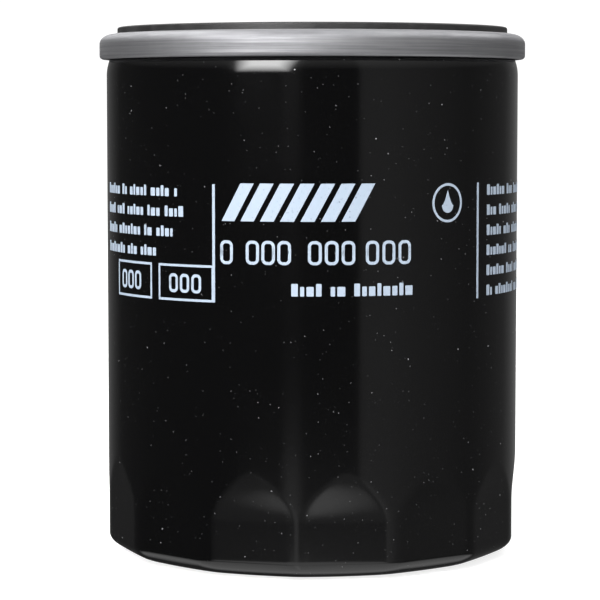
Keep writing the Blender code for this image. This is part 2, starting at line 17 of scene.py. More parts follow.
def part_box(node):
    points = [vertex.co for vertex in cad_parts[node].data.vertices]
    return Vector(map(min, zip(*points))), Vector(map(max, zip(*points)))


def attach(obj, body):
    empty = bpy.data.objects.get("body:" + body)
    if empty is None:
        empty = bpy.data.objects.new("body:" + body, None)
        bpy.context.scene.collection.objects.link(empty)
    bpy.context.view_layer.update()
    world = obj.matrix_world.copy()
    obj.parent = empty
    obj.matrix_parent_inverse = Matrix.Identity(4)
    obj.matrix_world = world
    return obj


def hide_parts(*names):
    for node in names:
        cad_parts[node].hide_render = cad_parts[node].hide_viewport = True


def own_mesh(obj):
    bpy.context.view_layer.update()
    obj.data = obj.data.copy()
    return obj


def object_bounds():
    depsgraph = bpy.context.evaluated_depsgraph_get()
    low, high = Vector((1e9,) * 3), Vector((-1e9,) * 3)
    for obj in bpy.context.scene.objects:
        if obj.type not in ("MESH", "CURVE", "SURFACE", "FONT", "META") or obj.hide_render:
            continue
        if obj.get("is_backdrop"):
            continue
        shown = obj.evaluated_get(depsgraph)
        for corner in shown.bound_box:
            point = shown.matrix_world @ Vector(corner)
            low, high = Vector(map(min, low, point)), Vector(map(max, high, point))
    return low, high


MM = 0.001
WELD = 0.0002 * MM  # points closer than this are one point

# Sizes repeated from the CAD
GAP = 0.3 * MM
CAN_RADIUS = 36.75 * MM
CAN_WALL = 0.4 * MM
CORNER_WIDTH = 6.5 * MM
CORNER_HEIGHT = 3.25 * MM
NECK_STEP = 0.55 * MM
NECK_LENGTH = 2.9 * MM
WELL_DEPTH = 1.2 * MM
WELL_SLOPE = 1.5 * MM
FLATS = 14
FLAT_DEPTH = 0.72 * MM
FLAT_LOW = 10.0 * MM
FLAT_HIGH = 18.7 * MM
FIRST_RIDGE = radians(-93.7)
SEAM_HEIGHT = 4.5 * MM
LID_SHEET = 0.4 * MM
FOLD_GAP = 0.7 * MM
CROWN_DROP = 1.8 * MM
SEAM_BEND = 0.7 * MM
GASKET_WIDTH = 4.0 * MM
RIM_HEIGHT = 2.5 * MM
PLATE_THICKNESS = 3.0 * MM
THREAD_RADIUS = 8.75 * MM
COLLAR_WALL = 3.2 * MM
INLETS = 8
INLET_RADIUS = 2.8 * MM
FLAP_THICKNESS = 1.2 * MM
FLAP_LIP = 2.0 * MM
HUB_WALL = 2.6 * MM
HUB_HEIGHT = 3.4 * MM
CAP_SHEET = 0.4 * MM
CAP_BORE = 12.6 * MM
TUBE_WALL = 0.4 * MM
TUBE_HOLE_RADIUS = 1.5 * MM
TUBE_HOLE_COLUMNS = 6
TUBE_HOLE_PITCH = 9.5 * MM
PLEATS = 42
PAPER = 0.6 * MM
PLEAT_FOLD = 1.3 * MM
PLEAT_CREASE = 0.9 * MM
PLEAT_MARGIN = 0.9 * MM
SPRING_RADIUS = 21.0 * MM
SPRING_WIRE = 2.0 * MM
SPRING_TURNS = 2.75
GUIDE_SHEET = 0.6 * MM
GUIDE_BORE = 13.0 * MM
GUIDE_HOLES = 8
GUIDE_HOLE_RADIUS = 2.2 * MM
VALVE_SHEET = 0.5 * MM
PORT_RADIUS = 5.5 * MM
PORT_LIP = 0.9 * MM
SEAL_WIDTH = 4.0 * MM
STEM_RADIUS = 1.8 * MM
STEM_CLEARANCE = 0.5 * MM
VALVE_SPRING_RADIUS = 4.6 * MM
VALVE_SPRING_WIRE = 0.8 * MM
VALVE_SPRING_TURNS = 4.5
CAGE_WINDOWS = 4
CAGE_WINDOW_WIDTH = 5.0 * MM
CAGE_BAND = 1.2 * MM

# Fineness
SMOOTH_ANGLE = radians(32)
ARC_STEP = radians(12)
SHELL_STEPS = 24 * FLATS
INNER_STEPS = 120
HOLE_STEPS = 28
COIL_STEPS = 56
FLAT_ROWS = 40
CROWN_STEPS = 12

# Rounding and detail that the CAD leaves out
FLAT_EDGE = 0.12 * MM  # softens the line where a flat meets the round side
CORNER_STEPS = 14
NECK_BEND = (NECK_LENGTH**2 + NECK_STEP**2) / (2 * NECK_STEP)  # radius of the neck's curve
NECK_STEPS = 10
BEND = 0.3 * MM  # inside radius of a bend in thin sheet
SHEET_EDGE = 0.15 * MM  # rounding of a sheared edge
THREAD_PITCH = 25.4 * MM / 16
THREAD_DEPTH = 0.54 * THREAD_PITCH
THREAD_ROWS_PER_TURN = 12
THREAD_LEAD_IN = 0.9 * MM
RUBBER_EDGE = 0.35 * MM
SEAL_EDGE = 0.2 * MM
FLAP_RIBS = 3
FLAP_RIB = 0.25 * MM
FOLD_STEPS = 8
WINDOW_CORNER = 1.0 * MM

# Print on the can. Azimuths are in degrees, words are numbers of letters, and drops and rises are
# distances below and above the top and the bottom of the two rules
INK = 0.03 * MM
LOOP_STEPS = 10
PRINT_STEP = 1.0 * MM
PRINT_CORNER = 0.12 * MM
PRINT_HIGH = 26.9 * MM  # from the gasket's top down to the top of the rules
PRINT_LOW = 46.7 * MM  # and down to their bottom
RULE_AZIMUTHS = (-26.6, 50.2)
RULE_WIDTH = 0.5 * MM
STRIPE_AZIMUTHS = (-24.2, 18.2)
STRIPES = 7
STRIPE_SHARE = 0.68  # of the stripes' pitch
STRIPE_RISE = 0.2 * MM
STRIPE_DROP = 6.1 * MM
FIGURE_LINE = 0.5 * MM
CODE_STARTS = (-15.8, -11.2, -8.5, -5.8, -0.7, 2.1, 4.9, 9.0, 11.9, 14.8)  # in millimetres
CODE_DROP = 9.3 * MM
CODE_SIZE = (2.3 * MM, 4.0 * MM)
BLOCK_WIDTHS = (0.522, 0.319, 0.58, 0.435, 0.348, 0.638, 0.464, 0.377)  # over their height
BLOCK_GAP = 0.18  # over their height
LOW_BLOCK = 0.76  # height of most blocks, over the height of a tall one
ORIGIN_AZIMUTHS = (-5.4, 29.2)
ORIGIN_WORDS = (4, 2, 8)
ORIGIN_RISE = 1.3 * MM
ORIGIN_HEIGHT = 2.1 * MM
TEXT_DROP = 2.2 * MM  # to the foot of the first line
TEXT_HEIGHT = 1.8 * MM
LEFT_START = -76
LEFT_ENDS = (-38.0, -34.0, -38.6, -45.7)
LEFT_WORDS = ((6, 2, 5, 4), (4, 3, 5, 3), (5, 7, 2, 4), (8, 3, 6, 2))
LEFT_PITCH = 3.4 * MM
RIGHT_AZIMUTHS = (54.6, 96)
RIGHT_WORDS = ((6, 3), (3, 5, 4), (5, 3, 6), (7, 2), (6, 4), (2, 8))
RIGHT_PITCH = 3.45 * MM
BOX_AZIMUTHS = ((-66.5, -48.0, -63.7), (-45.2, -26.6, -41.2))  # ends, and the first figure's start
BOX_HEIGHT = 6.2 * MM
BOX_LINE = 0.4 * MM
BOX_FIGURES = 3
BOX_FIGURE_RISE = 1.4 * MM
BOX_FIGURE_PITCH = 2.45 * MM
BOX_FIGURE_SIZE = (2.0 * MM, 3.2 * MM)
EMBLEM_AZIMUTH = 38.4
EMBLEM_DROP = 3.25 * MM
EMBLEM_RADIUS = 3.3 * MM
EMBLEM_LINE = 0.42 * MM
DROP_RADIUS = 1.25 * MM  # of the oil drop in the emblem
DROP_HEIGHT = 2.6 * MM
DROP_SHIFT = 0.45 * MM  # from the emblem's middle down to the middle of the drop's round end
DROP_TAPER = 1.6
DROP_STEPS = 20

# Camera and stage
CAMERA_DISTANCE = 448 * MM
CAMERA_HEIGHT = 79.9 * MM
CAMERA_PITCH = radians(4.5)
CAMERA_YAW = radians(0.28)
CAMERA_LENS = 149.3
FLOOR_SIZE = 12.0
FLOOR_GAP = 0.05 * MM  # keeps the floor off the can's standing ring
WHITE = (1, 1, 1, 1)
ROOM = 0.045  # the dark room that gloss reflects where it meets nothing brighter
SOFT_LIGHT = 0.55
BACKDROP = 1.1
KEY_AZIMUTH = radians(-26.5)
KEY_ELEVATION = radians(30)
KEY_TILT = radians(1)  # how much higher the nearest layer is than the farthest
KEY_LAYERS = 8
KEY_FARTHEST = (0.90, 0.50, 0.75)  # distance, width and height
KEY_NEAREST = (0.72, 0.20, 0.23)
KEY_RADIANCE = 16.0  # of all layers together
POOL_SIZE = 360 * MM
POOL_DEPTH = 20 * MM


# ---------------------------------------------------------------- materials


def add(tree, kind, inputs=(), **settings):
    """A shader node with its settings, and with sockets or plain values on its inputs."""
    made = tree.nodes.new("ShaderNode" + kind)
    for name, value in settings.items():
        setattr(made, name, value)
    for name, value in dict(inputs).items():
        if isinstance(value, bpy.types.NodeSocket):
            tree.links.new(value, made.inputs[name])
        else:
            made.inputs[name].default_value = value
    return made


def new_look(name, **shader):
    """A material, its node tree and its shader. Keyword arguments are sockets, with _ for spaces."""
    look = bpy.data.materials.new(name)
    look.use_nodes = True
    principled = look.node_tree.nodes["Principled BSDF"]
    for socket, value in shader.items():
        principled.inputs[socket.replace("_", " ")].default_value = value
    return look, look.node_tree, principled


def spots(tree, stretch=(1, 1, 1)):
    """The point on the piece in millimetres, stretched along an axis."""
    where = add(tree, "TexCoord").outputs["Object"]
    scale = [share / MM for share in stretch]
    return add(tree, "VectorMath", {0: where, 1: scale}, operation="MULTIPLY").outputs[0]


def calculated(tree, operation, *values):
    return add(tree, "Math", dict(enumerate(values)), operation=operation).outputs[0]


def times(tree, *values):
    """The product of two or more sockets or numbers."""
    product = values[0]
    for value in values[1:]:
        product = calculated(tree, "MULTIPLY", product, value)
    return product


def plus(tree, *values):
    """The sum of two or more sockets or numbers."""
    total = values[0]
    for value in values[1:]:
        total = calculated(tree, "ADD", total, value)
    return total


def round_streaks(tree, along, across):
    """A point that changes slowly round the axis and quickly across it, for marks left by turning."""
    x, y, z = add(tree, "SeparateXYZ", {0: spots(tree)}).outputs
    radius = calculated(tree, "SQRT", plus(tree, times(tree, x, x), times(tree, y, y)))
    both = plus(tree, radius, z)
    parts = times(tree, x, along), times(tree, y, along), times(tree, both, across)
    return add(tree, "CombineXYZ", dict(enumerate(parts))).outputs[0]


def noise(tree, where, scale, detail=3.0, roughness=0.5):
    inputs = {"Vector": where, "Scale": scale, "Detail": detail, "Roughness": roughness}
    return add(tree, "TexNoise", inputs).outputs[0]


def cells(tree, where, scale):
    """The distance to the nearest cell's point, and that cell's own random number."""
    found = add(tree, "TexVoronoi", {"Vector": where, "Scale": scale})
    number = add(tree, "SeparateColor", {0: found.outputs["Color"]}).outputs[0]
    return found.outputs["Distance"], number


def ranged(tree, value, low, high, to_low=0.0, to_high=1.0):
    inputs = {"Value": value, "From Min": low, "From Max": high, "To Min": to_low, "To Max": to_high}
    return add(tree, "MapRange", inputs).outputs["Result"]


def tinted(tree, share, one, two):
    """From colour one to colour two."""
    inputs = {0: share, 6: one if isinstance(one, bpy.types.NodeSocket) else (*one, 1), 7: (*two, 1)}
    return add(tree, "Mix", inputs, data_type="RGBA").outputs[2]


def relief(tree, height, depth):
    """A normal from a height pattern that runs from 0 to 1 over this depth in metres."""
    return add(tree, "Bump", {"Height": height, "Distance": depth, "Strength": 1.0}).outputs[0]


def dust(tree, scale, size, share):
    """Specks of dust: 1 in a speck and 0 elsewhere. Only this share of the cells holds one."""
    distance, number = cells(tree, spots(tree), scale)
    speck = ranged(tree, distance, size * scale, 0.5 * size * scale)
    return times(tree, speck, ranged(tree, number, 1 - share, 1, 0.25, 1))


def enamel():
    look, tree, shader = new_look("gloss_black_enamel", IOR=1.5)
    scuffs = noise(tree, spots(tree), 0.06, 5, 0.6)
    specks = plus(tree, dust(tree, 0.36, 0.16, 0.6), dust(tree, 0.9, 0.08, 0.6))
    colour = tinted(tree, specks, (0.0013, 0.0013, 0.0014), (0.30, 0.30, 0.31))
    roughness = plus(tree, ranged(tree, scuffs, 0.3, 0.7, 0.085, 0.125), times(tree, specks, 0.4))
    peel = noise(tree, spots(tree), 0.55, 2)
    tree.links.new(colour, shader.inputs["Base Color"])
    tree.links.new(roughness, shader.inputs["Roughness"])
    tree.links.new(relief(tree, peel, 0.003 * MM), shader.inputs["Normal"])
    return look


def drawn_steel(name, light, dark, rough, streak, blotch, coat):
    """Sheet steel with marks round the axis, and a stained or spangled surface."""
    look, tree, shader = new_look(name, Metallic=1.0)
    streaks = noise(tree, round_streaks(tree, 0.035, 2.2), 1.0, 4, 0.65)
    fine = noise(tree, round_streaks(tree, 0.08, 14.0), 1.0, 2)
    stains = noise(tree, spots(tree), 0.11, 5, 0.62)
    spread = plus(tree, times(tree, ranged(tree, streaks, 0.3, 0.72), streak), times(tree, stains, blotch))
    colour = tinted(tree, spread, light, dark)
    worn = plus(tree, ranged(tree, streaks, 0.25, 0.75, rough[0], rough[1]), times(tree, stains, coat))
    tree.links.new(colour, shader.inputs["Base Color"])
    tree.links.new(worn, shader.inputs["Roughness"])
    marks = plus(tree, times(tree, fine, 0.4), streaks)
    tree.links.new(relief(tree, marks, 0.012 * MM), shader.inputs["Normal"])
    return look


def zinc():
    """Zinc-plated sheet, with faint spangles of different brightness."""
    look, tree, shader = new_look("zinc_plated_steel", Metallic=1.0)
    edge, number = cells(tree, spots(tree), 0.55)
    grain = noise(tree, spots(tree), 2.5, 4, 0.6)
    shade = plus(tree, times(tree, number, 0.6), times(tree, grain, 0.4))
    tree.links.new(tinted(tree, shade, (0.48, 0.48, 0.46), (0.70, 0.70, 0.68)), shader.inputs["Base Color"])
    tree.links.new(ranged(tree, number, 0, 1, 0.28, 0.42), shader.inputs["Roughness"])
    tree.links.new(relief(tree, plus(tree, grain, edge), 0.006 * MM), shader.inputs["Normal"])
    return look


def wire():
    """Oil-tempered spring wire: dark, with a brighter drawn skin in places."""
    look, tree, shader = new_look("tempered_wire", Metallic=1.0)
    skin = noise(tree, spots(tree), 0.9, 5, 0.65)
    colour = tinted(tree, ranged(tree, skin, 0.35, 0.7), (0.16, 0.15, 0.15), (0.42, 0.42, 0.43))
    tree.links.new(colour, shader.inputs["Base Color"])
    tree.links.new(ranged(tree, skin, 0.3, 0.7, 0.30, 0.48), shader.inputs["Roughness"])
    tree.links.new(relief(tree, noise(tree, spots(tree), 7.0, 3), 0.008 * MM), shader.inputs["Normal"])
    return look


def rubber():
    look, tree, shader = new_look("nitrile_rubber", IOR=1.52)
    bloom = noise(tree, spots(tree), 0.35, 6, 0.65)
    specks = dust(tree, 0.9, 0.10, 0.7)
    shade = plus(tree, ranged(tree, bloom, 0.35, 0.75, 0, 0.5), specks)
    colour = tinted(tree, shade, (0.009, 0.0088, 0.009), (0.050, 0.049, 0.050))
    tree.links.new(colour, shader.inputs["Base Color"])
    tree.links.new(ranged(tree, bloom, 0.3, 0.7, 0.46, 0.62), shader.inputs["Roughness"])
    grain = noise(tree, round_streaks(tree, 0.5, 5.0), 1.0, 4, 0.6)
    tree.links.new(relief(tree, grain, 0.02 * MM), shader.inputs["Normal"])
    return look


def paper():
    """Resin-cured filter paper: crossed fibres, and fine grooves rolled in round the element."""
    look, tree, shader = new_look("cured_filter_paper", IOR=1.45)
    fibres = noise(tree, spots(tree, (1.0, 1.0, 6.0)), 1.1, 6, 0.7)
    clouds = noise(tree, spots(tree), 0.16, 4)
    shade = plus(tree, times(tree, fibres, 0.6), times(tree, clouds, 0.4))
    colour = tinted(tree, ranged(tree, shade, 0.3, 0.7), (0.52, 0.33, 0.12), (0.80, 0.60, 0.30))
    grooves = add(tree, "TexWave", {"Vector": spots(tree), "Scale": 0.35}, bands_direction="Z").outputs[1]
    tree.links.new(colour, shader.inputs["Base Color"])
    tree.links.new(ranged(tree, fibres, 0.3, 0.7, 0.78, 0.95), shader.inputs["Roughness"])
    height = plus(tree, times(tree, grooves, 0.7), fibres)
    tree.links.new(relief(tree, height, 0.05 * MM), shader.inputs["Normal"])
    return look


def cast_filler(name, one, two, roughness, depth):
    """Something poured or smeared that has set: cloudy, lumpy and pitted."""
    look, tree, shader = new_look(name, IOR=1.48)
    clouds = noise(tree, spots(tree), 0.45, 5, 0.6)
    pits, number = cells(tree, spots(tree), 0.9)
    tree.links.new(tinted(tree, clouds, one, two), shader.inputs["Base Color"])
    tree.links.new(ranged(tree, number, 0, 1, *roughness), shader.inputs["Roughness"])
    height = plus(tree, clouds, ranged(tree, pits, 0, 0.3))
    tree.links.new(relief(tree, height, depth), shader.inputs["Normal"])
    return look


def ink():
    """Screen-printed ink: slightly blue white, thin in places where the paint shows through."""
    look, tree, shader = new_look("white_screen_ink", IOR=1.46)
    thin = noise(tree, spots(tree), 1.6, 5, 0.7)
    gone = plus(tree, ranged(tree, thin, 0.60, 0.80), dust(tree, 1.1, 0.16, 0.35))
    tree.links.new(tinted(tree, gone, (0.31, 0.37, 0.45), (0.12, 0.14, 0.17)), shader.inputs["Base Color"])
    tree.links.new(ranged(tree, thin, 0.3, 0.7, 0.34, 0.5), shader.inputs["Roughness"])
    tree.links.new(relief(tree, thin, 0.006 * MM), shader.inputs["Normal"])
    return look


# ---------------------------------------------------------------- meshes


def shaded(bm, name):
    """The mesh of a closed solid, smooth but for its sharp edges."""
    bmesh.ops.remove_doubles(bm, verts=bm.verts, dist=WELD)
    bmesh.ops.recalc_face_normals(bm, faces=bm.faces)
    mesh = bpy.data.meshes.new(name)
    bm.to_mesh(mesh)
    bm.free()
    mesh.shade_smooth()
    mesh.set_sharp_from_angle(angle=SMOOTH_ANGLE)
    return mesh


def eased(share):
    """A share from 0 to 1 that starts and ends slowly."""
    return share * share * (3 - 2 * share)


def skin(bm, rings):
    """Faces from each ring of points to the next, all with as many points."""
    for one, two in zip(rings, rings[1:]):
        for index in range(len(one)):
            after = (index + 1) % len(one)
            bm.faces.new((one[index], two[index], two[after], one[after]))


def capped(bm, rings):
    """A closed tube through these rings."""
    skin(bm, rings)
    bm.faces.new(rings[0])
    bm.faces.new(rings[-1])


def ring(inside, outside, low, high, rounding):
    """The half section of a plain ring."""
    return [
        (inside, low, rounding),
        (outside, low, rounding),
        (outside, high, rounding),
        (inside, high, rounding),
    ]


def angles_round(count):
    """Angles of holes in a circle, half a step from +X."""
    return [tau * (index + 0.5) / count for index in range(count)]


def rounded(corners):
    """A half section with rounded corners, from (radius, height, rounding) corners."""
    outline = []
    for before, here, after in zip(corners[-1:] + corners[:-1], corners, corners[1:] + corners[:1]):
        point = Vector(here[:2])
        into = (point - Vector(before[:2])).normalized()
        out = (Vector(after[:2]) - point).normalized()
        turn = atan2(into.x * out.y - into.y * out.x, into.dot(out))
        if not here[2] or not turn:
            outline.append(tuple(point))
            continue
        side = 1 if turn > 0 else -1
        start = point - into * here[2] * tan(abs(turn) / 2)
        middle = start + Vector((-into.y, into.x)) * side * here[2]
        steps = max(2, ceil(abs(turn) / ARC_STEP))
        outline += [
            tuple(middle + Matrix.Rotation(turn * step / steps, 2) @ (start - middle))
            for step in range(steps + 1)
        ]
    return outline


def arc(radius, height, across, up, start, end, steps):
    """Points along part of an ellipse in a half section, with no further rounding."""
    turns = [start + (end - start) * step / steps for step in range(steps + 1)]
    return [(radius + across * cos(turn), height + up * sin(turn), 0) for turn in turns]


def spun(outline, steps, start=0.0):
    """A bmesh turned about Z from a closed half section of (radius, height) points."""
    bm = bmesh.new()
    columns = []
    for step in range(steps):
        turn = start + tau * step / steps
        columns.append([bm.verts.new((radius * cos(turn), radius * sin(turn), z)) for radius, z in outline])
    for left, right in zip(columns, columns[1:] + columns[:1]):
        for row in range(len(outline)):
            after = (row + 1) % len(outline)
            if max(outline[row][0], outline[after][0]) > 0:
                bm.faces.new((left[row], right[row], right[after], left[after]))
    bmesh.ops.remove_doubles(bm, verts=bm.verts, dist=WELD)
    return bm


def stand_in(node, bm, look):
    """A finer piece in place of a CAD node, on that node's body."""
    piece = bpy.data.objects.new(node + "_fine", shaded(bm, node))
    bpy.context.collection.objects.link(piece)
    piece.data.materials.append(look)
    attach(piece, body_of[node])
    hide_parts(node)
    return piece


def turned(node, corners, look, steps=INNER_STEPS):
    return stand_in(node, spun(rounded(corners), steps), look)


def drill(piece, cutters):
    """Takes closed bmeshes out of a piece for good."""
    holes = bmesh.new()
    for bm in cutters:
        scratch = bpy.data.meshes.new("cutter")
        bm.to_mesh(scratch)
        holes.from_mesh(scratch)
        bm.free()
        bpy.data.meshes.remove(scratch)
    cutter = bpy.data.objects.new("cutter", shaded(holes, "cutter"))
    bpy.context.collection.objects.link(cutter)
    cut = piece.modifiers.new("cut", "BOOLEAN")
    cut.operation = "DIFFERENCE"
    cut.solver = "EXACT"
    cut.object = cutter
    with bpy.context.temp_override(object=piece, active_object=piece):
        bpy.ops.object.modifier_apply(modifier=cut.name)
    bpy.data.objects.remove(cutter)
    piece.data.set_sharp_from_angle(angle=SMOOTH_ANGLE)


def punch(x, y, radius, low, high, flare):
    """A cutter for a punched hole, with its mouth drawn in by the punch on the upper face."""
    margin = high - low
    corners = [
        (0, low - margin, 0),
        (radius, low - margin, 0),
        (radius, high, flare),
        (radius + margin, high, 0),
        (radius + margin, high + margin, 0),
        (0, high + margin, 0),
    ]
    bm = spun(rounded(corners), HOLE_STEPS)
    bmesh.ops.recalc_face_normals(bm, faces=bm.faces)
    bmesh.ops.translate(bm, verts=bm.verts, vec=(x, y, 0))
    return bm


def pressed_in(angle, z):
    """How far a flat is below the round side at this angle and height, with its edges softened."""
    pitch = tau / FLATS
    share = min(max((z - FLAT_LOW) / (FLAT_HIGH - FLAT_LOW), 0), 1)
    distance = CAN_RADIUS - FLAT_DEPTH * (1 - eased(share))
    off_middle = (angle - FIRST_RIDGE) % pitch - pitch / 2
    below = CAN_RADIUS - distance / cos(off_middle)
    soft = FLAT_EDGE * (1 - share)
    if abs(below) < soft:
        return (below + soft) ** 2 / (4 * soft)
    return max(below, 0)


def make_canister():
    foot = CAN_RADIUS - CORNER_WIDTH
    corner = (foot, CORNER_HEIGHT, CORNER_WIDTH, CORNER_HEIGHT)
    inner_corner = (foot, CORNER_HEIGHT, CORNER_WIDTH - CAN_WALL, CORNER_HEIGHT - CAN_WALL)
    inside = CAN_RADIUS - CAN_WALL
    neck_inside = NECK_RADIUS - CAN_WALL
    hook_inside = NECK_RADIUS + FOLD_GAP
    hook_radius = hook_inside + CAN_WALL
    hook_low = SEAM_BOTTOM + LID_SHEET + GAP
    neck = (CAN_RADIUS - NECK_BEND, NECK_BOTTOM, NECK_BEND, NECK_BEND)
    rise = (FLAT_HIGH - CORNER_HEIGHT) / FLAT_ROWS
    rows = [CORNER_HEIGHT + rise * row for row in range(1, FLAT_ROWS + 2)]
    corners = [
        (0, WELL_DEPTH, 0),
        (WELL_RADIUS - WELL_SLOPE, WELL_DEPTH, 1.2 * MM),
        (WELL_RADIUS, 0, 0.8 * MM),
        *arc(*corner, -pi / 2, 0, CORNER_STEPS),
        *((CAN_RADIUS, z, 0) for z in rows),
        *arc(*neck, 0, asin(NECK_LENGTH / NECK_BEND), NECK_STEPS),
        (NECK_RADIUS, HOOK_TOP - CAN_WALL, BEND),
        (hook_inside, HOOK_TOP - CAN_WALL, BEND),
        (hook_inside, hook_low, SHEET_EDGE),
        (hook_radius, hook_low, SHEET_EDGE),
        (hook_radius, HOOK_TOP, BEND + CAN_WALL),
        (neck_inside, HOOK_TOP, BEND + CAN_WALL),
        (neck_inside, SEAM_BOTTOM, 1.5 * MM),
        (inside, NECK_BOTTOM, 5 * MM),
        *((inside, z, 0) for z in reversed(rows)),
        *arc(*inner_corner, 0, -pi / 2, CORNER_STEPS),
        (WELL_RADIUS, CAN_WALL, 1.2 * MM),
        (WELL_RADIUS - WELL_SLOPE, WELL_DEPTH + CAN_WALL, 0.8 * MM),
        (0, WELL_DEPTH + CAN_WALL, 0),
    ]
    bm = spun(rounded(corners), SHELL_STEPS, FIRST_RIDGE)
    for vert in bm.verts:
        radius = hypot(vert.co.x, vert.co.y)
        if vert.co.z > FLAT_HIGH or radius <= foot:
            continue
        fade = min((radius - foot) / (CORNER_WIDTH - CAN_WALL), 1)
        scale = 1 - fade * pressed_in(atan2(vert.co.y, vert.co.x), vert.co.z) / radius
        vert.co.x *= scale
        vert.co.y *= scale
    return stand_in("canister", bm, black_enamel)


def make_lid():
    """The sheet lid, with its turned-up rim, the gasket's channel and the rolled seam."""
    seam_radius = NECK_RADIUS + FOLD_GAP + CAN_WALL + GAP + LID_SHEET
    crown = seam_radius - CHUCK_RADIUS
    crown_height = SEAM_TOP - CROWN_DROP
    inner_crown = (CHUCK_RADIUS, crown_height, crown - LID_SHEET, CROWN_DROP - LID_SHEET)
    corners = [
        (RIM_RADIUS - LID_SHEET, CHANNEL_FLOOR - LID_SHEET, BEND + LID_SHEET),
        (RIM_RADIUS - LID_SHEET, CHANNEL_FLOOR + RIM_HEIGHT, SHEET_EDGE),
        (RIM_RADIUS, CHANNEL_FLOOR + RIM_HEIGHT, SHEET_EDGE),
        (RIM_RADIUS, CHANNEL_FLOOR, BEND),
        (CHUCK_RADIUS - LID_SHEET, CHANNEL_FLOOR, BEND),
        (CHUCK_RADIUS - LID_SHEET, SEAM_TOP, BEND),
        *arc(CHUCK_RADIUS, crown_height, crown, CROWN_DROP, pi / 2, 0, CROWN_STEPS),
        (seam_radius, SEAM_BOTTOM, SEAM_BEND),
        (NECK_RADIUS + GAP, SEAM_BOTTOM, SHEET_EDGE),
        (NECK_RADIUS + GAP, SEAM_BOTTOM + LID_SHEET, SHEET_EDGE),
        (seam_radius - LID_SHEET, SEAM_BOTTOM + LID_SHEET, BEND),
        *arc(*inner_crown, 0, pi / 2, CROWN_STEPS),
        (CHUCK_RADIUS, CHANNEL_FLOOR - LID_SHEET, BEND + LID_SHEET),
    ]
    return turned("seaming_lid", corners, tinned, SHELL_STEPS)


def make_gasket():
    low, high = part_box("gasket")
    section = ring(high.x - GASKET_WIDTH, high.x, low.z, high.z, RUBBER_EDGE)
    return turned("gasket", section, nitrile, SHELL_STEPS)


def make_tapping_plate():
    """The thick plate: punched inlets and a cut thread that starts in a chamfer at both ends."""
    low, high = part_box("tapping_plate")
    plate_bottom = high.z - PLATE_THICKNESS
    collar = THREAD_RADIUS + COLLAR_WALL
    rows = ceil((high.z - low.z) / THREAD_PITCH * THREAD_ROWS_PER_TURN)
    bore = [low.z + (high.z - low.z) * row / rows for row in range(rows + 1)]
    corners = [
        (collar, low.z, 0.8 * MM),
        (collar, plate_bottom, 0.25 * MM),
        (high.x, plate_bottom, 0.3 * MM),
        (high.x, high.z, 0.5 * MM),
        *((THREAD_RADIUS, z, 0) for z in reversed(bore)),
    ]
    bm = spun(rounded(corners), INNER_STEPS)
    for vert in bm.verts:
        radius = hypot(vert.co.x, vert.co.y)
        if radius > THREAD_RADIUS + WELD:
            continue
        phase = (vert.co.z / THREAD_PITCH - atan2(vert.co.y, vert.co.x) / tau) % 1
        groove = min(max(1.25 * (1 - abs(2 * phase - 1)) - 0.1, 0), 1) * THREAD_DEPTH
        from_end = min(vert.co.z - low.z, high.z - vert.co.z)
        chamfer = max(THREAD_LEAD_IN - from_end, 0)
        scale = 1 + max(groove, chamfer) / radius
        vert.co.x *= scale
        vert.co.y *= scale
    plate = stand_in("tapping_plate", bm, plate_look)
    hub_bore = collar + GAP
    flap_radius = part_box("anti_drainback_valve")[1].x
    pitch = (hub_bore + HUB_WALL + flap_radius - FLAP_LIP) / 2
    places = [(pitch * cos(turn), pitch * sin(turn)) for turn in angles_round(INLETS)]
    drill(plate, [punch(x, y, INLET_RADIUS, plate_bottom, high.z, 0.45 * MM) for x, y in places])
    return plate


def make_drainback_valve():
    """The rubber skirt, with ribs on its cone."""
    low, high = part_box("anti_drainback_valve")
    bore = THREAD_RADIUS + COLLAR_WALL + GAP
    hub = bore + HUB_WALL
    lip = high.x - FLAP_LIP
    hub_top = low.z + HUB_HEIGHT
    rise = (high.z - hub_top) / (lip - hub)
    ribs = []
    for rib in range(FLAP_RIBS):
        radius = lip + (hub - lip) * (rib + 1) / (FLAP_RIBS + 1)
        height = high.z - (lip - radius) * rise
        ribs += [
            (radius + 2 * FLAP_RIB, height + 2 * FLAP_RIB * rise, FLAP_RIB),
            (radius, height - FLAP_RIB, FLAP_RIB),
            (radius - 2 * FLAP_RIB, height - 2 * FLAP_RIB * rise, FLAP_RIB),
        ]
    corners = [
        (bore, low.z, RUBBER_EDGE),
        (hub, low.z, RUBBER_EDGE),
        (hub, hub_top - FLAP_THICKNESS, RUBBER_EDGE),
        (lip, high.z - FLAP_THICKNESS, RUBBER_EDGE),
        (high.x, high.z - FLAP_THICKNESS, RUBBER_EDGE),
        (high.x, high.z, RUBBER_EDGE),
        (lip, high.z, RUBBER_EDGE),
        *ribs,
        (hub, hub_top, RUBBER_EDGE),
        (bore, hub_top, RUBBER_EDGE),
    ]
    piece = turned("anti_drainback_valve", corners, nitrile)
    height = high.z - low.z
    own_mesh(piece)
    return piece


def coil(node, radius, wire, turns):
    """A spring whose end turns close up."""
    low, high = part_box(node)
    count = round(turns * COIL_STEPS)
    bm = bmesh.new()
    rings = []
    for index in range(count + 1):
        share = index / count
        turn = tau * turns * share
        middle = Vector((radius * cos(turn), radius * sin(turn), low.z + wire / 2))
        middle.z += (high.z - low.z - wire) * eased(share)
        out = Vector((cos(turn), sin(turn), 0))
        rings.append([
            bm.verts.new(middle + (out * cos(side) + Vector((0, 0, sin(side)))) * wire / 2)
            for side in (tau * step / HOLE_STEPS for step in range(HOLE_STEPS))
        ])
    capped(bm, rings)
    piece = stand_in(node, bm, spring_wire)
    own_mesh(piece)
    return piece


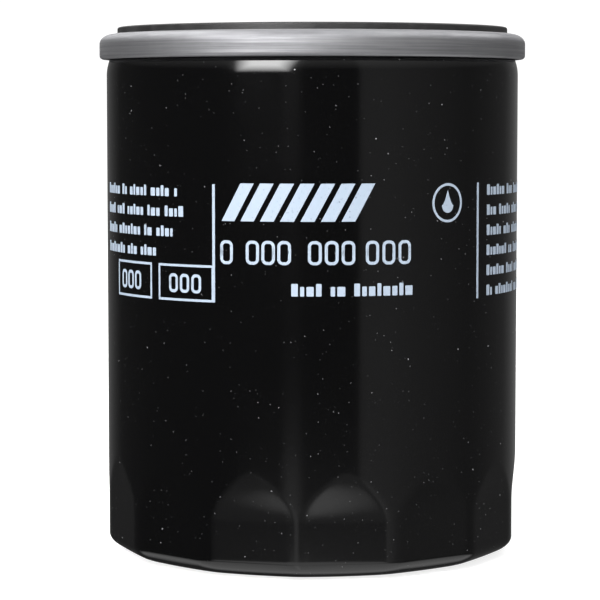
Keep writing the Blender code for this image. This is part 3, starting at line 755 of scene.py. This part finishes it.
def make_end_cap(node, way):
    """One end cap. Its flat side is down where way is 1, and up where it is -1."""
    low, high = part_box(node)
    flat = low.z if way == 1 else high.z
    depth = high.z - low.z
    corners = [
        (CAP_BORE, 0, BEND + CAP_SHEET),
        (high.x, 0, BEND + CAP_SHEET),
        (high.x, depth, SHEET_EDGE),
        (high.x - CAP_SHEET, depth, SHEET_EDGE),
        (high.x - CAP_SHEET, CAP_SHEET, BEND),
        (CAP_BORE + CAP_SHEET, CAP_SHEET, BEND),
        (CAP_BORE + CAP_SHEET, depth, SHEET_EDGE),
        (CAP_BORE, depth, SHEET_EDGE),
    ]
    placed = [(radius, flat + way * height, fillet) for radius, height, fillet in corners]
    return turned(node, placed, zinc_look)


def make_centre_tube():
    """The rolled tube with its punched rows of holes."""
    low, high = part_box("centre_tube")
    inside = high.x - TUBE_WALL
    section = ring(inside, high.x, low.z, high.z, SHEET_EDGE)
    tube = turned("centre_tube", section, zinc_look)
    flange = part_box("lower_end_cap")[1].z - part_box("lower_end_cap")[0].z
    length = high.z - low.z
    rows = int((length - 2 * flange) / TUBE_HOLE_PITCH)
    first = (low.z + high.z - (rows - 1) * TUBE_HOLE_PITCH) / 2
    cutters = []
    for row in range(rows):
        for column in range(TUBE_HOLE_COLUMNS):
            turn = tau * (column + 0.5 * (row % 2)) / TUBE_HOLE_COLUMNS
            bm = punch(0, 0, TUBE_HOLE_RADIUS, inside, high.x, 0.12 * MM)
            bmesh.ops.rotate(bm, verts=bm.verts, matrix=Matrix.Rotation(pi / 2, 3, "Y"))
            bmesh.ops.rotate(bm, verts=bm.verts, matrix=Matrix.Rotation(turn, 3, "Z"))
            bmesh.ops.translate(bm, verts=bm.verts, vec=(0, 0, first + row * TUBE_HOLE_PITCH))
            cutters.append(bm)
    drill(tube, cutters)
    return tube


def fold(radius, width, angle, way):
    """The middle line of one rounded fold in the paper, pointing outwards where way is 1."""
    bend = (width - PAPER) / 2
    middle = radius - way * (PAPER / 2 + bend)
    points = []
    for step in range(FOLD_STEPS + 1):
        side = (step / FOLD_STEPS - 0.5) * pi
        points.append(Vector((middle + way * bend * cos(side), bend * sin(side))))
    turn = Matrix.Rotation(angle, 2)
    return [turn @ point for point in points]


def make_filter_paper():
    """The pleated paper: rounded folds joined by straight sides, all one thickness."""
    low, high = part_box("filter_paper")
    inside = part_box("centre_tube")[1].x + PLEAT_MARGIN
    line = []
    for pleat in range(PLEATS):
        line += fold(high.x, PLEAT_FOLD, tau * pleat / PLEATS, 1)
        line += fold(inside, PLEAT_CREASE, tau * (pleat + 0.5) / PLEATS, -1)
    bm = bmesh.new()
    columns = []
    for before, here, after in zip(line[-1:] + line[:-1], line, line[1:] + line[:1]):
        along = (after - before).normalized()
        side = Vector((along.y, -along.x)) * PAPER / 2
        columns.append([
            bm.verts.new((*point, z))
            for point, z in (
                (here + side, low.z),
                (here + side, high.z),
                (here - side, high.z),
                (here - side, low.z),
            )
        ])
    skin(bm, columns + columns[:1])
    return stand_in("filter_paper", bm, cured_paper)


def make_element_guide():
    low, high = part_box("element_guide")
    corners = [
        (GUIDE_BORE, low.z, SHEET_EDGE),
        (high.x, low.z, BEND + GUIDE_SHEET),
        (high.x, high.z, SHEET_EDGE),
        (high.x - GUIDE_SHEET, high.z, SHEET_EDGE),
        (high.x - GUIDE_SHEET, low.z + GUIDE_SHEET, BEND),
        (GUIDE_BORE, low.z + GUIDE_SHEET, SHEET_EDGE),
    ]
    guide = turned("element_guide", corners, zinc_look)
    pitch = (SPRING_RADIUS + SPRING_WIRE / 2 + high.x - GUIDE_SHEET) / 2
    places = [(pitch * cos(turn), pitch * sin(turn)) for turn in angles_round(GUIDE_HOLES)]
    top = low.z + GUIDE_SHEET
    drill(guide, [punch(x, y, GUIDE_HOLE_RADIUS, low.z, top, 0.15 * MM) for x, y in places])
    return guide


def make_bypass_seat():
    low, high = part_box("bypass_seat")
    lip = low.z + VALVE_SHEET + PORT_LIP
    corners = [
        (PORT_RADIUS, low.z, BEND),
        (high.x, low.z, BEND + VALVE_SHEET),
        (high.x, high.z, SHEET_EDGE),
        (high.x - VALVE_SHEET, high.z, SHEET_EDGE),
        (high.x - VALVE_SHEET, low.z + VALVE_SHEET, BEND),
        (PORT_RADIUS + VALVE_SHEET, low.z + VALVE_SHEET, BEND),
        (PORT_RADIUS + VALVE_SHEET, lip, SHEET_EDGE),
        (PORT_RADIUS, lip, SHEET_EDGE),
    ]
    return turned("bypass_seat", corners, zinc_look)


def make_bypass_cage():
    """The cup over the bypass valve, with four windows that have rounded corners."""
    low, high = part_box("bypass_cage")
    wall = high.x - VALVE_SHEET
    hole = STEM_RADIUS + STEM_CLEARANCE
    corners = [
        (wall - VALVE_SHEET, low.z, SHEET_EDGE),
        (high.x, low.z, SHEET_EDGE),
        (high.x, low.z + VALVE_SHEET, SHEET_EDGE),
        (wall, low.z + VALVE_SHEET, SHEET_EDGE),
        (wall, high.z, BEND + VALVE_SHEET),
        (hole, high.z, SHEET_EDGE),
        (hole, high.z - VALVE_SHEET, SHEET_EDGE),
        (wall - VALVE_SHEET, high.z - VALVE_SHEET, BEND),
    ]
    cage = turned("bypass_cage", corners, zinc_look)
    bottom = low.z + VALVE_SHEET + CAGE_BAND
    top = high.z - VALVE_SHEET - CAGE_BAND
    cutters = []
    for window in range(CAGE_WINDOWS):
        bm = bmesh.new()
        size = Matrix.Diagonal((high.x, CAGE_WINDOW_WIDTH, top - bottom, 1))
        middle = Matrix.Translation((high.x, 0, (bottom + top) / 2))
        turn = Matrix.Rotation(tau * window / CAGE_WINDOWS, 4, "Z")
        bmesh.ops.create_cube(bm, size=1, matrix=middle @ size)
        sides = [e for e in bm.edges if abs(e.verts[0].co.x - e.verts[1].co.x) > high.x / 2]
        bmesh.ops.bevel(bm, geom=sides, offset=WINDOW_CORNER, segments=5, affect="EDGES", profile=0.5)
        bmesh.ops.transform(bm, matrix=turn, verts=bm.verts)
        cutters.append(bm)
    drill(cage, cutters)
    return cage


def make_bypass_valve():
    """The seal on the port's lip, and the disc and stem above it."""
    low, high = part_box("bypass_seal")
    section = ring(high.x - SEAL_WIDTH, high.x, low.z, high.z, SEAL_EDGE)
    turned("bypass_seal", section, nitrile)
    low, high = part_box("bypass_disc")
    corners = [
        (0, low.z, 0),
        (high.x, low.z, SHEET_EDGE),
        (high.x, low.z + VALVE_SHEET, SHEET_EDGE),
        (STEM_RADIUS, low.z + VALVE_SHEET, BEND),
        (STEM_RADIUS, high.z, 0.5 * MM),
        (0, high.z, 0),
    ]
    turned("bypass_disc", corners, zinc_look)


# ---------------------------------------------------------------- print


def wrapped(bm, columns):
    """Ink on the can's side, from columns of (distance round from the front, low, high)."""
    sides = []
    for along, low, high in columns:
        turn = along / CAN_RADIUS - pi / 2
        inner, outer = CAN_RADIUS + INK / 10, CAN_RADIUS + INK
        sides.append([
            bm.verts.new((radius * cos(turn), radius * sin(turn), z))
            for radius, z in ((outer, low), (outer, high), (inner, high), (inner, low))
        ])
    capped(bm, sides)


def bar(bm, left, right, low, high, corner=PRINT_CORNER):
    """A block of ink with rounded corners."""
    ends = [corner * (1 - cos(pi / 2 * step / 4)) for step in range(5)]
    inner = right - left - 2 * corner
    count = max(1, ceil(inner / PRINT_STEP))
    places = [left + end for end in ends]
    places += [left + corner + inner * step / count for step in range(1, count)]
    places += [right - end for end in reversed(ends)]
    columns = []
    for along in places:
        off = corner - min(along - left, right - along, corner)
        shrink = corner - sqrt(max(corner**2 - off**2, (corner / 20) ** 2))
        columns.append((along, low + shrink, high - shrink))
    wrapped(bm, columns)


def slanted(bm, left, width, lean, low, high):
    """A block of ink that leans to the right, and is narrower than its lean."""
    count = ceil((lean - width) / PRINT_STEP)
    places = [0] + [width + (lean - width) * step / count for step in range(count + 1)] + [lean + width]
    columns = []
    for along in places:
        rise = (high - low) * min(along / lean, 1)
        fall = (high - low) * max((along - width) / lean, 0)
        columns.append((left + along, low + min(fall, high - low - INK), low + max(rise, INK)))
    wrapped(bm, columns)


def frame_of_bars(bm, left, right, low, high, line):
    bar(bm, left, right, high - line, high, line / 2)
    bar(bm, left, right, low, low + line, line / 2)
    bar(bm, left, left + line, low + line, high - line, line / 4)
    bar(bm, right - line, right, low + line, high - line, line / 4)


def blocks(bm, left, right, low, high, words):
    """A line of small print, as words of plain blocks where letters would be, every third one tall."""
    gap = BLOCK_GAP * (high - low)
    at = left
    index = 0
    for count in words:
        for _ in range(count):
            width = (high - low) * BLOCK_WIDTHS[index % len(BLOCK_WIDTHS)]
            if at + width > right:
                return
            top = high if index % 3 == 0 else low + LOW_BLOCK * (high - low)
            bar(bm, at, at + width, low, top)
            at += width + gap
            index += 1
        at += 3 * gap


def reach(offset, width, height, corner):
    """Half the height of a rounded rectangle at a distance from its middle, from half its sizes."""
    past = abs(offset) - (width - corner)
    if past > corner:
        return 0
    return height - corner + sqrt(corner**2 - max(past, 0) ** 2)


def loop(bm, along, up, width, height, corner, line):
    """A printed outline of a rounded rectangle, as an upper and a lower half. Sizes are half sizes."""
    inner = (width - line, height - line, max(corner - line, line / 4))
    places = {0, -inner[0] - INK / 50}
    for half_width, half_corner in ((width, corner), (inner[0], inner[2])):
        for step in range(LOOP_STEPS + 1):
            places.add(-half_width + half_corner * (1 - cos(pi / 2 * step / LOOP_STEPS)))
    places |= {-place for place in places}
    for way in (1, -1):
        columns = []
        for offset in sorted(places):
            near = reach(offset, *inner)
            far = max(reach(offset, width, height, corner), near + INK)
            columns.append((along + offset, *sorted((up + way * near, up + way * far))))
        wrapped(bm, columns)


def figures(bm, starts, low, size):
    """Upright outlines in a row, where figures would be."""
    width, height = size
    for start in starts:
        loop(bm, start + width / 2, low + height / 2, width / 2, height / 2, width * 0.42, FIGURE_LINE)


def printed(name, bm):
    piece = bpy.data.objects.new(name, shaded(bm, name))
    bpy.context.collection.objects.link(piece)
    piece.data.materials.append(screen_ink)
    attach(piece, "housing")
    return piece


def around(degrees):
    """Distance round the can from its front to this azimuth."""
    return radians(degrees) * CAN_RADIUS


def make_rules(high, low):
    bm = bmesh.new()
    for azimuth in RULE_AZIMUTHS:
        middle = around(azimuth)
        bar(bm, middle - RULE_WIDTH / 2, middle + RULE_WIDTH / 2, low, high, RULE_WIDTH / 5)
    printed("print_rules", bm)


def make_stripes(high):
    """A band of slanted stripes, in the place of a title."""
    bm = bmesh.new()
    left, right = (around(azimuth) for azimuth in STRIPE_AZIMUTHS)
    pitch = (right - left) / (STRIPES + 1)
    for stripe in range(STRIPES):
        start = left + pitch * stripe
        slanted(bm, start, pitch * STRIPE_SHARE, pitch, high - STRIPE_DROP, high + STRIPE_RISE)
    printed("print_title", bm)


def make_code(high):
    bm = bmesh.new()
    figures(bm, [start * MM for start in CODE_STARTS], high - CODE_DROP - CODE_SIZE[1], CODE_SIZE)
    printed("print_code", bm)


def make_origin(low):
    bm = bmesh.new()
    left, right = (around(azimuth) for azimuth in ORIGIN_AZIMUTHS)
    foot = low + ORIGIN_RISE
    blocks(bm, left, right, foot, foot + ORIGIN_HEIGHT, ORIGIN_WORDS)
    printed("print_origin", bm)


def make_instructions(high):
    """Two columns of small print. Words repeat where a line is longer than its list of them."""
    bm = bmesh.new()
    for line, (end, words) in enumerate(zip(LEFT_ENDS, LEFT_WORDS)):
        foot = high - TEXT_DROP - line * LEFT_PITCH
        blocks(bm, around(LEFT_START), around(end), foot, foot + TEXT_HEIGHT, words * 2)
    left, right = (around(azimuth) for azimuth in RIGHT_AZIMUTHS)
    for line, words in enumerate(RIGHT_WORDS):
        foot = high - TEXT_DROP - line * RIGHT_PITCH
        blocks(bm, left, right, foot, foot + TEXT_HEIGHT, words * 3)
    printed("print_instructions", bm)


def make_boxes(low):
    """Two boxes that stand on the bottom of the rules, with three figures each."""
    bm = bmesh.new()
    for left, right, start in BOX_AZIMUTHS:
        frame_of_bars(bm, around(left), around(right), low, low + BOX_HEIGHT, BOX_LINE)
        starts = [around(start) + step * BOX_FIGURE_PITCH for step in range(BOX_FIGURES)]
        figures(bm, starts, low + BOX_FIGURE_RISE, BOX_FIGURE_SIZE)
    printed("print_boxes", bm)


def make_emblem(high):
    """A ring, and in it an oil drop: a round bottom, and sides that meet in a point."""
    bm = bmesh.new()
    along, up = around(EMBLEM_AZIMUTH), high - EMBLEM_DROP
    loop(bm, along, up, EMBLEM_RADIUS, EMBLEM_RADIUS, EMBLEM_RADIUS, EMBLEM_LINE)
    up -= DROP_SHIFT
    columns = []
    for step in range(DROP_STEPS + 1):
        offset = -DROP_RADIUS * cos(pi * step / DROP_STEPS)
        low = up - sqrt(max(DROP_RADIUS**2 - offset**2, 0))
        rise = DROP_HEIGHT * (1 - abs(offset) / DROP_RADIUS) ** DROP_TAPER
        columns.append((along + offset, low, up + max(rise, INK)))
    wrapped(bm, columns)
    printed("print_emblem", bm)


def make_print():
    """The can's print, with generic marks and blocks where lettering would be."""
    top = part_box("gasket")[1].z
    high = top - PRINT_HIGH
    low = top - PRINT_LOW
    make_rules(high, low)
    make_stripes(high)
    make_code(high)
    make_origin(low)
    make_instructions(high)
    make_boxes(low)
    make_emblem(high)


# ---------------------------------------------------------------- stage


def level_sheet(name, size, height, look):
    """A square on the stage, centred under the object."""
    mesh = bpy.data.meshes.new(name)
    bm = bmesh.new()
    bmesh.ops.create_grid(bm, x_segments=1, y_segments=1, size=size / 2)
    bm.to_mesh(mesh)
    bm.free()
    mesh.materials.append(look)
    sheet = bpy.data.objects.new(name, mesh)
    sheet.location = (0, 0, height)
    bpy.context.collection.objects.link(sheet)
    sheet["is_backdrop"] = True
    return sheet


def make_floor():
    look, tree, shader = new_look("pale_floor", Specular_IOR_Level=0.0, Emission_Strength=0.8)
    mottle = noise(tree, spots(tree), 0.02, 3)
    colour = tinted(tree, mottle, (0.48, 0.48, 0.48), (0.52, 0.52, 0.52))
    tree.links.new(colour, shader.inputs["Base Color"])
    level_sheet("floor", FLOOR_SIZE, -FLOOR_GAP, look).visible_glossy = False


def make_world():
    """White to the camera, soft to diffuse light, and a dim studio round the object to gloss.

    The studio is a faint wall behind, a card on the right that ends in a sharp edge, the table all
    round, the haze over the table in front, a narrow strip light, and a sky that brightens upwards.
    Each is bounded by the direction that is looked in, with the object in the middle.
    """
    world = bpy.data.worlds.new("studio")
    world.use_nodes = True
    tree = world.node_tree
    tree.nodes.clear()
    path = add(tree, "LightPath").outputs
    x, y, z = add(tree, "SeparateXYZ", {0: add(tree, "TexCoord").outputs["Generated"]}).outputs
    azimuth = calculated(tree, "ARCTAN2", x, times(tree, y, -1))
    behind = times(tree, ranged(tree, y, 0.7, 1.0, 0.0, 0.12), ranged(tree, z, -0.3, -0.1))
    card = times(
        tree,
        ranged(tree, azimuth, radians(95), radians(42), 0.06, 0.23),
        ranged(tree, azimuth, radians(24.5), radians(27.5)),
        ranged(tree, z, -0.6, -0.3, 0.25, 1.0),
    )
    table = times(tree, ranged(tree, z, -0.48, -0.62), ranged(tree, y, 0.65, 0.35))
    haze = times(
        tree,
        ranged(tree, x, -0.72, -0.5),
        ranged(tree, x, 0.78, 0.45),
        ranged(tree, y, 0.3, -0.1),
        ranged(tree, z, -0.14, -0.18, 0.0, 0.22),
    )
    off_strip = calculated(tree, "ABSOLUTE", plus(tree, azimuth, radians(11)))
    upper = ranged(tree, z, -0.02, 0.03, 0.03, 0.13)
    lower = ranged(tree, z, -0.13, -0.16, 0.0, 0.36)
    strip = times(tree, ranged(tree, off_strip, radians(7), radians(2)), plus(tree, upper, lower))
    sky = ranged(tree, z, 0.2, 0.85, 0.0, 0.75)
    seen = plus(tree, ROOM, behind, card, table, haze, strip, sky)
    glossy = add(tree, "Background", {"Color": WHITE, "Strength": seen})
    soft = add(tree, "Background", {"Color": WHITE, "Strength": SOFT_LIGHT})
    white = add(tree, "Background", {"Color": WHITE, "Strength": BACKDROP})
    light = add(tree, "MixShader", {0: path["Is Glossy Ray"], 1: soft.outputs[0], 2: glossy.outputs[0]})
    shown = add(tree, "MixShader", {0: path["Is Camera Ray"], 1: light.outputs[0], 2: white.outputs[0]})
    output = add(tree, "OutputWorld")
    tree.links.new(shown.outputs[0], output.inputs["Surface"])
    bpy.context.scene.world = world


def make_pool():
    """A lit patch in front of the object, seen only in reflections: it shines above the can's flats.

    Its soft edges are given in millimetres from the object's axis.
    """
    look = bpy.data.materials.new("lit_table")
    look.use_nodes = True
    tree = look.node_tree
    tree.nodes.clear()
    x, y, _ = add(tree, "SeparateXYZ", {0: spots(tree)}).outputs
    lit = times(
        tree,
        ranged(tree, x, -62, -50),
        ranged(tree, x, 42, 30),
        ranged(tree, y, -168, -122),
        ranged(tree, y, -64, -76),
    )
    glow = add(tree, "Emission", {"Color": WHITE, "Strength": 1.15})
    clear = add(tree, "BsdfTransparent")
    mixed = add(tree, "MixShader", {0: lit, 1: clear.outputs[0], 2: glow.outputs[0]})
    output = add(tree, "OutputMaterial")
    tree.links.new(mixed.outputs[0], output.inputs["Surface"])
    pool = level_sheet("pool", POOL_SIZE, -POOL_DEPTH, look)
    pool.visible_camera = False
    pool.visible_diffuse = False
    pool.visible_shadow = False


def make_light(name, azimuth, elevation, distance, size, radiance):
    """A rectangular softbox that faces the middle of the object, given by what it looks like."""
    data = bpy.data.lights.new(name, "AREA")
    data.shape = "RECTANGLE"
    data.size, data.size_y = size
    data.energy = radiance * pi * size[0] * size[1]
    light = bpy.data.objects.new(name, data)
    bpy.context.collection.objects.link(light)
    target = Vector((0, 0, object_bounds()[1].z / 2))
    away = Vector((sin(azimuth) * cos(elevation), -cos(azimuth) * cos(elevation), sin(elevation)))
    light.location = target + away * distance
    light.rotation_euler = away.to_track_quat("Z", "Y").to_euler()
    light.visible_camera = False


def make_key():
    """Softboxes one in front of the other, so that the light falls off softly at its edges."""
    for layer in range(KEY_LAYERS):
        share = layer / (KEY_LAYERS - 1)
        distance, *size = (far + (near - far) * share for far, near in zip(KEY_FARTHEST, KEY_NEAREST))
        elevation = KEY_ELEVATION + KEY_TILT * share
        make_light("key", KEY_AZIMUTH, elevation, distance, size, KEY_RADIANCE / KEY_LAYERS)


def make_lights():
    make_key()
    make_light("top", radians(-30), radians(78), 1.0, (0.7, 0.5), 2.4)
    make_light("rear_left", radians(-140), radians(48), 1.1, (0.6, 0.6), 3.0)
    make_light("rear_right", radians(125), radians(48), 1.1, (0.6, 0.6), 3.0)


def make_camera():
    data = bpy.data.cameras.new("camera")
    data.lens = CAMERA_LENS
    data.clip_start = 0.01
    data.clip_end = 100
    camera = bpy.data.objects.new("camera", data)
    bpy.context.collection.objects.link(camera)
    camera.location = (0, -CAMERA_DISTANCE, CAMERA_HEIGHT)
    camera.rotation_euler = (pi / 2 - CAMERA_PITCH, 0, CAMERA_YAW)
    bpy.context.scene.camera = camera


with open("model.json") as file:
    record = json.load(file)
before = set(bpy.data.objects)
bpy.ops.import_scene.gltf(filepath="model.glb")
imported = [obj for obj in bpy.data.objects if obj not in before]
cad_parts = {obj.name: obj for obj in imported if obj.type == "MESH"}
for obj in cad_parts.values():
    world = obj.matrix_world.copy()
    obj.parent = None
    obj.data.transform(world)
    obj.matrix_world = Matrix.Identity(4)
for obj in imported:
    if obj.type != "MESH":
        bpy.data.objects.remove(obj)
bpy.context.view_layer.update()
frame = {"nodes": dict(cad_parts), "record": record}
body_of = {node: body for body, nodes in frame["record"]["behaviour"]["bodies"].items() for node in nodes}

# Heights and radii that follow
CHANNEL_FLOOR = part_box("gasket")[0].z - GAP
SEAM_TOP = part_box("seaming_lid")[1].z
SEAM_BOTTOM = SEAM_TOP - SEAM_HEIGHT
HOOK_TOP = SEAM_TOP - CROWN_DROP
NECK_BOTTOM = SEAM_BOTTOM - NECK_LENGTH
NECK_RADIUS = CAN_RADIUS - NECK_STEP
CHUCK_RADIUS = NECK_RADIUS - CAN_WALL - GAP
RIM_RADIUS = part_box("gasket")[1].x - GASKET_WIDTH - GAP
WELL_RADIUS = SPRING_RADIUS - SPRING_WIRE / 2 - GAP
black_enamel = enamel()
tinned = drawn_steel(
    "tinned_sheet_steel",
    light=(0.47, 0.47, 0.485),
    dark=(0.17, 0.17, 0.18),
    rough=(0.50, 0.66),
    streak=0.7,
    blotch=0.35,
    coat=0.05,
)
plate_look = drawn_steel(
    "phosphated_plate_steel",
    light=(0.42, 0.42, 0.42),
    dark=(0.16, 0.155, 0.15),
    rough=(0.34, 0.5),
    streak=0.4,
    blotch=0.6,
    coat=0.1,
)
zinc_look = zinc()
spring_wire = wire()
nitrile = rubber()
cured_paper = paper()
plastisol = cast_filler(
    "cured_plastisol",
    one=(0.42, 0.14, 0.07),
    two=(0.56, 0.24, 0.13),
    roughness=(0.35, 0.5),
    depth=0.06 * MM,
)
seam_paste = cast_filler(
    "seam_sealing_paste",
    one=(0.30, 0.28, 0.25),
    two=(0.42, 0.40, 0.36),
    roughness=(0.6, 0.8),
    depth=0.03 * MM,
)
screen_ink = ink()

make_canister()
make_lid()
make_gasket()
make_tapping_plate()
make_drainback_valve()
coil("support_spring", SPRING_RADIUS, SPRING_WIRE, SPRING_TURNS)
coil("bypass_spring", VALVE_SPRING_RADIUS, VALVE_SPRING_WIRE, VALVE_SPRING_TURNS)
make_end_cap("lower_end_cap", 1)
make_end_cap("upper_end_cap", -1)
make_centre_tube()
make_filter_paper()
make_element_guide()
make_bypass_seat()
make_bypass_cage()
make_bypass_valve()
make_print()

for node, look in (
    ("seam_compound", seam_paste),
    ("lower_potting", plastisol),
    ("upper_potting", plastisol),
    ("paper_seam_clip", zinc_look),
):
    frame["nodes"][node].data.materials.clear()
    frame["nodes"][node].data.materials.append(look)

make_floor()
make_world()
make_pool()
make_lights()
make_camera()
bpy.context.scene.view_settings.view_transform = "Standard"
